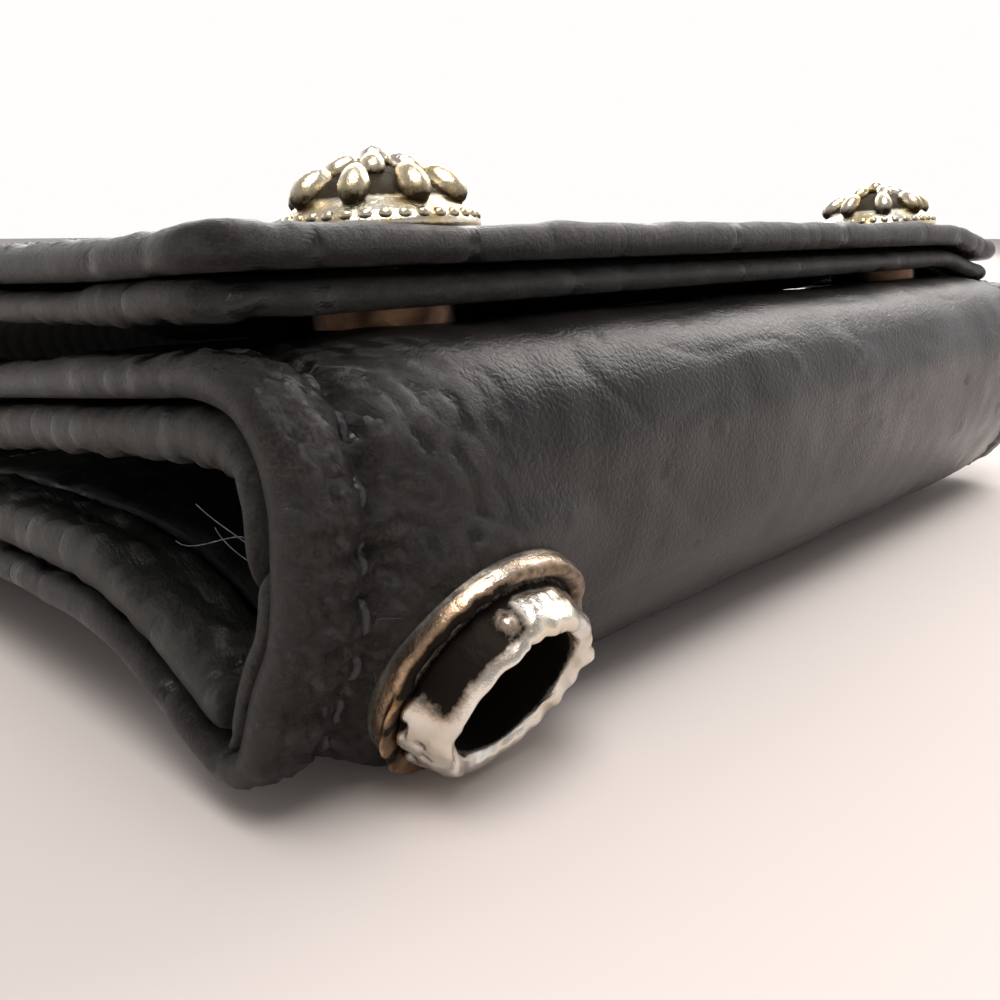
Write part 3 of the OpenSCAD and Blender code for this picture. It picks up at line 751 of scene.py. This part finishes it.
# ---------------------------------------------------------------- frayed fibres
# Loose ends of worn thread. Three black ones stand off the front seam, and three that have
# lost their wax and turned grey come out of the crushed end of the inner panel's facing.
# Each is placed by its distances x, s and depth, its way out and its reach.
black_ends = [(4.6, front_fold + 1.6, -0.2, (0.1, -0.3, 0.9), 1.2),
              (4.9, front_fold + 4.4, -0.2, (0.5, -0.5, 0.6), 1.1),
              (5.1, front_fold + 7.2, -0.2, (-0.6, -0.6, -0.3), 1.0)]
grey_ends = [(1.2, front_fold + 1.2, 4.3, (-0.6, 0.65, 0.3), 3.6),
             (1.5, front_fold + 1.6, 4.4, (-0.5, 0.6, 0.05), 3.2),
             (1.0, front_fold + 0.6, 4.2, (-0.6, 0.4, 0.5), 2.6)]
forms = [strand(*loose_end, 200 + k) for k, loose_end in enumerate(black_ends + grey_ends)]
black_faces = sum(len(form[1]) for form in forms[:len(black_ends)])
fibre_points, fibre_faces = joined(forms)
fibre_slots = [int(i >= black_faces) for i in range(len(fibre_faces))]
fibres = mesh_piece("frayed_fibres", fibre_points, fibre_faces, fibre_slots)
fluff, tree, shader, add = tree_of("grey fluff")
uneven = add("TexNoise", Vector=add("TexCoord").outputs["Object"], Scale=2500.0)
grey = ramp(add, uneven.outputs["Fac"], [[0.3, (0.05, 0.05, 0.06)], [0.7, (0.17, 0.17, 0.2)]])
tree.links.new(grey, shader.inputs["Base Color"])
shader.inputs["Roughness"].default_value = 0.8
cover(fibres, thread, fluff)
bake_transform(fibres)

# ---------------------------------------------------------------- grommet
# A cast silver eyelet for the chain: a rolled flange, a dark groove and a hammered ring
# with a generic leaf scroll down its left side. Handling has polished what stands proud,
# and shade is painted onto its ring wall, inside its hole and onto its flange.


def old_silver(name, bright, warm, dark, rough=0.22, hammer=0.9):
    """Silver, polished where it stands proud and blackened in its hollows, and darkened wherever shade is
    painted into the same mark.
    """
    material, tree, shader, add = tree_of(name)
    spot = add("TexCoord").outputs["Object"]
    patch_noise = add("TexNoise", Vector=spot, Scale=330.0, Detail=5.0, Roughness=0.6)
    grit = add("TexNoise", Vector=spot, Scale=2100.0, Detail=4.0, Roughness=0.7)
    pits = add("TexVoronoi", {"feature": "SMOOTH_F1"}, Vector=spot, Scale=900.0, Smoothness=0.6)
    bronzed = add("Attribute", {"attribute_name": "bronze"}).outputs["Fac"]
    hollow = add("Attribute", {"attribute_name": "hollow"}).outputs["Fac"]
    tinted = ramp(add, patch_noise.outputs["Fac"], [[0.36, bright], [0.66, warm]])
    tinted = add("Mix", {"data_type": "RGBA"}, i0=bronzed, i6=tinted, i7=(0.5, 0.31, 0.17, 1)).outputs[2]
    # Darkening from grit stains, the patina in the hollows and the painted shade that the pieces carry
    stain_and_shade = times_plus(add, grit.outputs["Fac"], 0.9, -0.42)
    stain_and_shade = add("Math", {"operation": "ADD"}, i0=hollow, i1=stain_and_shade)
    stain_and_shade = between(add, stain_and_shade.outputs[0], 0.15, 0.85)
    colour = add("Mix", {"data_type": "RGBA"}, i0=stain_and_shade, i6=tinted, i7=(*dark, 1)).outputs[2]
    tree.links.new(colour, shader.inputs["Base Color"])
    tree.links.new(between(add, stain_and_shade, 0.0, 1.0, rough, 0.62), shader.inputs["Roughness"])
    heights = times_plus(add, pits.outputs["Distance"], hammer, grit.outputs["Fac"])
    emboss(tree, shader, add, heights, 0.45, 0.00014)
    shader.inputs["Metallic"].default_value = 1.0
    return material


def face_frame(x, s):
    """A point on the strip with its axes: along the fold, up the strip and out of the leather."""
    at, inward = on_run(np.array([float(s)]))
    out = np.array([0, -inward[0, 0], -inward[0, 1]])
    up = np.array([0, -inward[0, 1], inward[0, 0]])
    if np.cross([1, 0, 0], up) @ out < 0:
        up = -up
    return np.array([near_x + x, front_y + at[0, 0], at[0, 1]]), np.stack([[1, 0, 0], up, out])


def turned(radii, heights, origin, axes, poles=(False, False)):
    """A turned form from rows of radii and heights round a circle. Without poles it closes on itself."""
    rows, cols = radii.shape
    turn = np.linspace(0, 2 * math.pi, cols, endpoint=False)
    flat = np.stack([radii * np.cos(turn), radii * np.sin(turn), heights], -1)
    points = ((origin + flat @ axes) * MM).reshape(-1, 3)
    index = np.arange(rows * cols).reshape(rows, cols)
    if poles[0]:
        index[0] = index[0, 0]
    if poles[1]:
        index[-1] = index[-1, 0]
    loop = index if any(poles) else np.vstack([index, index[:1]])
    after = np.roll(loop, -1, 1)
    return points, np.stack([loop[:-1], after[:-1], after[1:], loop[1:]], -1).reshape(-1, 4).tolist()


def along_profile(profile, count):
    """Evenly spaced points on the smooth curve through a profile of [radius, height]."""
    curve = smooth_curve([list(p) for p in profile], 12)
    far = np.concatenate([[0], np.cumsum(np.linalg.norm(np.diff(curve, axis=0), axis=1))])
    t = np.linspace(0, far[-1], count)
    return np.interp(t, far, curve[:, 0]), np.interp(t, far, curve[:, 1])


# Half of the grommet cut through: [radius, height above the leather]
profile = [(5.1, -0.5), (6.6, -0.5), (7.55, -0.45), (7.7, 0.1), (7.72, 0.8), (7.55, 1.25),
           (7.1, 1.42), (6.7, 1.2), (6.4, 0.85), (6.25, 1.1), (6.15, 1.8), (6.08, 2.6), (5.95, 3.3),
           (5.7, 3.8), (5.3, 3.98), (4.95, 3.95), (4.65, 3.75), (4.52, 3.3), (4.5, 1.8), (4.5, -2),
           (4.5, -4.35), (4.8, -4.45), (5.1, -4.35), (5.1, -2)]
profile_steps = 150
turn_steps = 300
turn = np.linspace(0, 2 * math.pi, turn_steps, endpoint=False)[None, :]
r, h = (column[:, None] for column in along_profile(profile, profile_steps))
angle = np.degrees(turn) % 360


def arc(low, high, soft=6):
    """1 between two directions round the grommet, in degrees, fading over a few degrees."""
    return ease(angle, low - soft, low + soft) * (1 - ease(angle, high - soft, high + soft))


# The hole's rim is uneven, the ring's top is hammered, and the lower right is worn thin
wall = ease(h, 1.0, 1.5) * (1 - ease(h, 3.3, 3.9)) * (r > 5.5)
top = ease(h, 3.2, 3.8)
flange = (r > 6.45) * ease(h, 0.0, 0.6)
wave = 0.06 * np.sin(3 * turn + 0.7) + 0.045 * np.sin(7 * turn + 2.1) + 0.03 * np.sin(12 * turn)
thin = hump((angle + 55 + 180) % 360 - 180, 0, 48)
grown_r = r + wave * (wall + 0.6 * flange) + hump(r, 4.6, 0.35) * top * (1.3 * wave + 0.06)
hammered = ripple(1.7, 151, r * np.cos(turn), r * np.sin(turn), 1.5 * h)
grown_h = h + top * (0.09 * hammered - 0.35 * thin) + 0.06 * hammered * flange
grown_r = grown_r + 0.05 * hammered * wall * arc(8, 104)

# The scroll: its curled head on the ring's wall, a strip along the hole's rim, and a leaf
# that spreads down over the wall on the left and ends in a fork, with small piercings
head = hump(angle, 113, 5) * hump(h, 2.5, 0.7) * (r > 5.5)
strip = arc(110, 236, 3) * hump(grown_r, 5.5, 0.36) * top
leaf = arc(172, 240, 9)
spread = leaf * wall * (0.35 + 0.65 * (1 - ease(h, 1.4, 3.2)))
notches = hump(angle, 213, 4.5) * (1 - ease(h, 1.9, 2.7)) + 0.8 * hump(angle, 190, 4) * (h < 1.9)
fork = leaf * wall * notches
piercings = [(196, 2.7), (206, 3.1), (222, 2.6), (229, 1.9)]
pierced = sum(hump(angle, way, 2.2) * hump(h, height, 0.22) for way, height in piercings)
pierced = pierced * leaf * wall
grown_r = grown_r + 0.35 * head + 0.85 * spread - 0.8 * fork * spread - 0.3 * pierced
grown_h = grown_h + 0.4 * strip + 0.15 * head
groove_in = arc(112, 215, 6) * hump(grown_r, 5.08, 0.14) * top
grown_h = grown_h - 0.35 * groove_in
nub = hump(angle, 8, 5) * ease(h, 2.0, 3.4) * (r > 5.2)
grown_r = grown_r + 0.5 * nub
grown_h = grown_h + 0.15 * nub
wall_foot = 1 - ease(h, 1.1, 1.7)
# Painted shade: the ring's outer wall darkened on its upper left, faintly on its lower right, and round its
# foot
painted_wall_shade = wall * (arc(104, 176, 5) + arc(244, 330, 10) * 0.3 + wall_foot * (arc(0, 104) + 0.2))
# Dark mark: blackened patina in the fork, the piercings and the grooves, plus the painted shade on the wall
hollow = painted_wall_shade * (1 - head) * (1 - leaf) + fork + pierced + groove_in
hollow = hollow + hump(r, 6.42, 0.22) * (h < 1.6)
# Painted shade inside the hole and on the flange's left side
hollow = hollow + (r < 4.7) * (1 - ease(h, 2.9, 3.6)) + 0.28 * flange * arc(118, 250, 12)
# Painted shade: a dark line along the flange's foot against the leather
hollow = hollow + 0.5 * (h < 0.4) * (r > 6)
hollow = np.clip(hollow * np.ones_like(angle), 0, 1)
bronze = np.clip(flange * (0.85 * arc(118, 262, 14) + 0.45 * arc(20, 118, 8)) + 0.5 * painted_wall_shade, 0, 1)
origin, axes = face_frame(grommet_at_x - 0.3, grommet_at_s + 0.25)
grommet_mesh, grommet_faces = turned(grown_r + 0 * turn, grown_h + 0 * turn, origin, axes)
grommet = mesh_piece("chain_grommet", grommet_mesh, grommet_faces,
                     marks={"hollow": (hollow + 0 * r).ravel(), "bronze": (bronze + 0 * r).ravel()})
silver = old_silver("aged silver", (0.80, 0.77, 0.72), (0.74, 0.64, 0.5), (0.02, 0.016, 0.013))
grommet.data.materials.append(silver)
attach(grommet, "back")
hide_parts("grommet_face")


def coat(nodes, material):
    """Gives pieces whose shape is right already their finish."""
    for node in nodes:
        made = frame["nodes"][node]
        made.data.materials.clear()
        made.data.materials.append(material)


washer_silver = old_silver("washer silver", (0.5, 0.48, 0.45), (0.42, 0.36, 0.3),
                           (0.03, 0.025, 0.02), rough=0.4)
coat(["grommet_washer"], washer_silver)

# ---------------------------------------------------------------- snap caps
# Cast silver rosettes with gilt high spots: a sloped base with a beaded foot, eight long
# petals round a bud, all blackened between, with painted shade on the lower part of each petal and bead.
# Their posts go down through the flap.


def bean(centre, size, tilt, angle, rows=9, cols=14):
    """A petal or bead: an egg of half-sizes out, across and up, tilted and turned about the cap."""
    a, b = np.meshgrid(np.linspace(0, math.pi, rows), np.linspace(0, 2 * math.pi, cols, endpoint=False),
                       indexing="ij")
    egg = np.stack([np.cos(a), np.sin(a) * np.cos(b), np.sin(a) * np.sin(b)], -1)
    egg[..., 1] *= 1 + 0.22 * egg[..., 0]
    egg = egg * size
    egg = np.stack([egg[..., 0] * math.cos(tilt) + egg[..., 2] * math.sin(tilt), egg[..., 1],
                    egg[..., 2] * math.cos(tilt) - egg[..., 0] * math.sin(tilt)], -1) + centre
    spun = np.stack([egg[..., 0] * math.cos(angle) - egg[..., 1] * math.sin(angle),
                     egg[..., 0] * math.sin(angle) + egg[..., 1] * math.cos(angle), egg[..., 2]], -1)
    index = np.arange(rows * cols).reshape(rows, cols)
    index[0], index[-1] = index[0, 0], index[-1, 0]
    after = np.roll(index, -1, 1)
    faces = np.stack([index[:-1], index[1:], after[1:], after[:-1]], -1).reshape(-1, 4)
    return spun.reshape(-1, 3), faces.tolist()


gilt = old_silver("gilt silver", (0.82, 0.78, 0.69), (0.80, 0.64, 0.34), (0.04, 0.03, 0.018), rough=0.2)
cap_steps = 70
cap_turn_steps = 120
cap_profile = [(0, -4.75), (1.35, -4.75), (1.5, -4.6), (1.5, -1), (1.6, -0.05), (3.5, -0.02),
               (6.0, -0.02), (6.4, 0.1), (6.5, 0.45), (6.2, 0.95), (5.6, 1.5), (5.1, 1.85),
               (4.5, 2.4), (3.5, 3.1), (2.2, 3.8), (1.0, 4.1), (0, 4.15)]
cap_r, cap_h = (column[:, None] for column in along_profile(cap_profile, cap_steps))
cap_r[0] = cap_r[-1] = 0
cap_turn = np.linspace(0, 2 * math.pi, cap_turn_steps, endpoint=False)[None, :]
cap_h = cap_h + 0.16 * np.cos(8 * cap_turn) * hump(cap_r, 4.0, 1.2) * (cap_h > 1.6)
cap_r = np.broadcast_to(cap_r, cap_h.shape)
cap_dark = np.clip(ease(cap_h, 1.7, 2.2) + 0.4 * (cap_h < 0), 0, 1).ravel() * 0.95

# Eight petals, five inner petals, the bud and 34 beads: centre, half-sizes, tilt, direction, darkness
ornaments = [((4.35, 0, 2.75), (1.65, 0.95, 1.05), 0.6, (k + 0.5) * math.pi / 4, 0.0) for k in range(8)]
ornaments += [((2.0, 0, 4.0), (1.3, 0.78, 0.8), 0.4, k * math.pi / 2.5, 0.0) for k in range(5)]
ornaments += [((0, 0, 4.6), (0.95, 0.95, 0.85), 0, 0, 0.0)]
ornaments += [((6.12, 0, 0.85), (0.38, 0.42, 0.38), 0, k * math.pi / 17, 0.08) for k in range(34)]

for end, snap_x in zip(("near", "far"), snap_xs):
    origin, axes = face_frame(snap_x, snap_s)
    forms = [turned(cap_r, cap_h, origin, axes, poles=(True, True))]
    marks = [cap_dark]
    for centre, size, tilt, way, dark in ornaments:
        points, faces = bean(np.array(centre), np.array(size), tilt, way + 0.2)
        # Painted shade: the lower part of each petal and bead is darkened
        low = ease(size[2] * 0.4 - (points[:, 2] - centre[2]), 0, size[2] * 1.3)
        forms.append(((origin + points @ axes) * MM, faces))
        marks.append(dark + 0.85 * low)
    rosette = mesh_piece(f"{end}_rosette", *joined(forms), marks={"hollow": np.concatenate(marks)})
    rosette.data.materials.append(gilt)
    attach(rosette, "flap")
    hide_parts(f"snap_cap_{end}")

# ---------------------------------------------------------------- snap sockets, studs and rivets
# Brass press-stud parts, turned and clenched: sockets under the flap, studs on the
# inner panel, and the rivet heads behind them. All have gone brown with age.


def brass(name, fresh, dull):
    """Brass with fine scratches, dulled in patches."""
    material, tree, shader, add = tree_of(name)
    spot = add("TexCoord").outputs["Object"]
    tarnish = add("TexNoise", Vector=spot, Scale=420.0, Detail=5.0)
    scratch = add("TexNoise", Vector=spot, Scale=3000.0, Detail=2.0)
    colour = ramp(add, tarnish.outputs["Fac"], [[0.35, fresh], [0.68, dull]])
    tree.links.new(colour, shader.inputs["Base Color"])
    tree.links.new(between(add, tarnish.outputs["Fac"], 0.3, 0.7, 0.25, 0.5), shader.inputs["Roughness"])
    emboss(tree, shader, add, scratch.outputs["Fac"], 0.3, 0.00005)
    shader.inputs["Metallic"].default_value = 1.0
    return material


stud_brass = brass("snap brass", (0.19, 0.11, 0.065), (0.07, 0.042, 0.028))
coat([f"snap_{part}_{end}" for part in ("socket", "stud", "rivet") for end in ("near", "far")],
     stud_brass)

# ---------------------------------------------------------------- zip
# A brass coil zip 84 mm long across the coin pocket: woven tapes, teeth, end stops,
# and a slider with its pull. The tapes are sewn under the pocket's leather edges.
tape_cloth = twill("woven zip tape", (0.007, 0.007, 0.008), (0.03, 0.03, 0.03), pitch=0.0003)
tape_width = 4.45
for node, tape_from in [("zip_tape_front", zip_s - 5.6), ("zip_tape_rear", zip_s + 1.15)]:
    low, high = (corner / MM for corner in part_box(node))
    tape_x = stations(low.x - near_x, high.x - near_x, 0.7, 0.9, (0, 0), roll=(0.2, 0.2))
    tape_s = stations(tape_from, tape_from + tape_width, 0.3, 0.4, (0, 0), roll=(0.2, 0.2))
    tape = rolled_sheet(f"{node}_cloth", tape_x, tape_s,
                        coin_depth - 0.4, coin_depth - 0.02, corner=0.2, roll=0.2,
                        sag=lambda x, s, edge: 0.02 * ripple(3, 161, x, s) * ease(edge, 0, 0.5))
    cover(tape, tape_cloth, tape_cloth)
    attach(tape, "back")
    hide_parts(node)
zip_brass = brass("zip brass", (0.62, 0.45, 0.22), (0.26, 0.17, 0.08))
coat(["zip_teeth_front", "zip_teeth_rear", "zip_stops", "zip_slider", "zip_pull"], zip_brass)

# ---------------------------------------------------------------- studio
# A pale pink table under soft daylight, a white sky low down all round, a large window
# off to the right that lights the folds, and a camera just off the corner with the grommet.
camera_at = Vector((near_x - 24.5, front_y - 36.4, flap_top)) * MM
camera_data = bpy.data.cameras.new("camera")
camera_data.lens = 36
camera_data.sensor_width = 36
camera_data.clip_start = 0.002
camera_data.clip_end = 20
camera = bpy.data.objects.new("camera", camera_data)
camera.location = camera_at
looks_down = 15.4
turned_right = 46.6
camera.rotation_euler = Euler((math.radians(90 - looks_down), 0, math.radians(-turned_right)))
bpy.context.scene.collection.objects.link(camera)
bpy.context.scene.camera = camera

table_reach = 2.4
rows = 9
grid = np.linspace(-table_reach, table_reach, rows)
table_z = min(0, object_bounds()[0][2])
table_points = [(x, y, table_z) for y in grid for x in grid]
firsts = [rows * i + j for i in range(rows - 1) for j in range(rows - 1)]
table_faces = [(k, k + 1, k + rows + 1, k + rows) for k in firsts]
table = mesh_piece("table", np.array(table_points), table_faces)
paper, tree, shader, add = tree_of("pale pink paper")
mottle = add("TexNoise", Vector=add("TexCoord").outputs["Object"], Scale=8.0, Detail=2.0)
pink = ramp(add, mottle.outputs["Fac"], [[0.35, (0.71, 0.64, 0.605)], [0.65, (0.73, 0.665, 0.63)]])
tree.links.new(pink, shader.inputs["Base Color"])
shader.inputs["Roughness"].default_value = 0.8
table.data.materials.append(paper)

world = bpy.data.worlds.new("white room")
world.use_nodes = True
sky = world.node_tree
direction = sky.nodes.new("ShaderNodeTexCoord")
split = sky.nodes.new("ShaderNodeSeparateXYZ")
fade = sky.nodes.new("ShaderNodeValToRGB")
sky.links.new(direction.outputs["Generated"], split.inputs[0])
sky.links.new(split.outputs["Z"], fade.inputs["Fac"])
toward = sky.nodes.new("ShaderNodeVectorMath")
toward.operation = "DOT_PRODUCT"
toward.inputs[1].default_value = (0.72, 0.69, 0)
sky.links.new(direction.outputs["Generated"], toward.inputs[0])
lit_side = sky.nodes.new("ShaderNodeMapRange")
for key, number in (("From Min", -0.5), ("From Max", 0.45), ("To Min", 0.5), ("To Max", 1.0)):
    lit_side.inputs[key].default_value = number
sky.links.new(toward.outputs["Value"], lit_side.inputs["Value"])
sky.links.new(lit_side.outputs["Result"], sky.nodes["Background"].inputs["Strength"])
sky.links.new(fade.outputs["Color"], sky.nodes["Background"].inputs["Color"])
fade.color_ramp.elements[0].position = 0.22
fade.color_ramp.elements[0].color = (1.0, 0.985, 0.98, 1)
fade.color_ramp.elements[1].position = 0.75
fade.color_ramp.elements[1].color = (0.5, 0.48, 0.485, 1)
bpy.context.scene.world = world
bpy.context.scene.view_settings.view_transform = "Standard"


def soft_light(name, at, aim, size, watts, colour=(1, 1, 1)):
    """A rectangular lamp at one place, aimed at another."""
    data = bpy.data.lights.new(name, "AREA")
    data.shape = "RECTANGLE"
    data.size, data.size_y = size
    data.energy = watts
    data.color = colour
    lamp = bpy.data.objects.new(name, data)
    lamp.location = at
    lamp.rotation_euler = (Vector(aim) - Vector(at)).to_track_quat("-Z", "Y").to_euler()
    bpy.context.scene.collection.objects.link(lamp)


soft_light("window", (0.8, 0.2, 0.62), (0, 0, 0), (0.9, 0.6), 6.2, (1, 0.94, 0.9))
soft_light("ceiling", (-0.1, -0.2, 0.9), (0, 0, 0), (0.5, 0.5), 3.6)
soft_light("left fill", (-0.35, -0.3, 0.95), (-0.1, -0.1, 0), (0.5, 0.5), 4.2, (1, 0.95, 0.92))
soft_light("wall", (0.7, 0.9, 0.6), (0.45, 0.5, 0), (0.8, 0.6), 6.0)
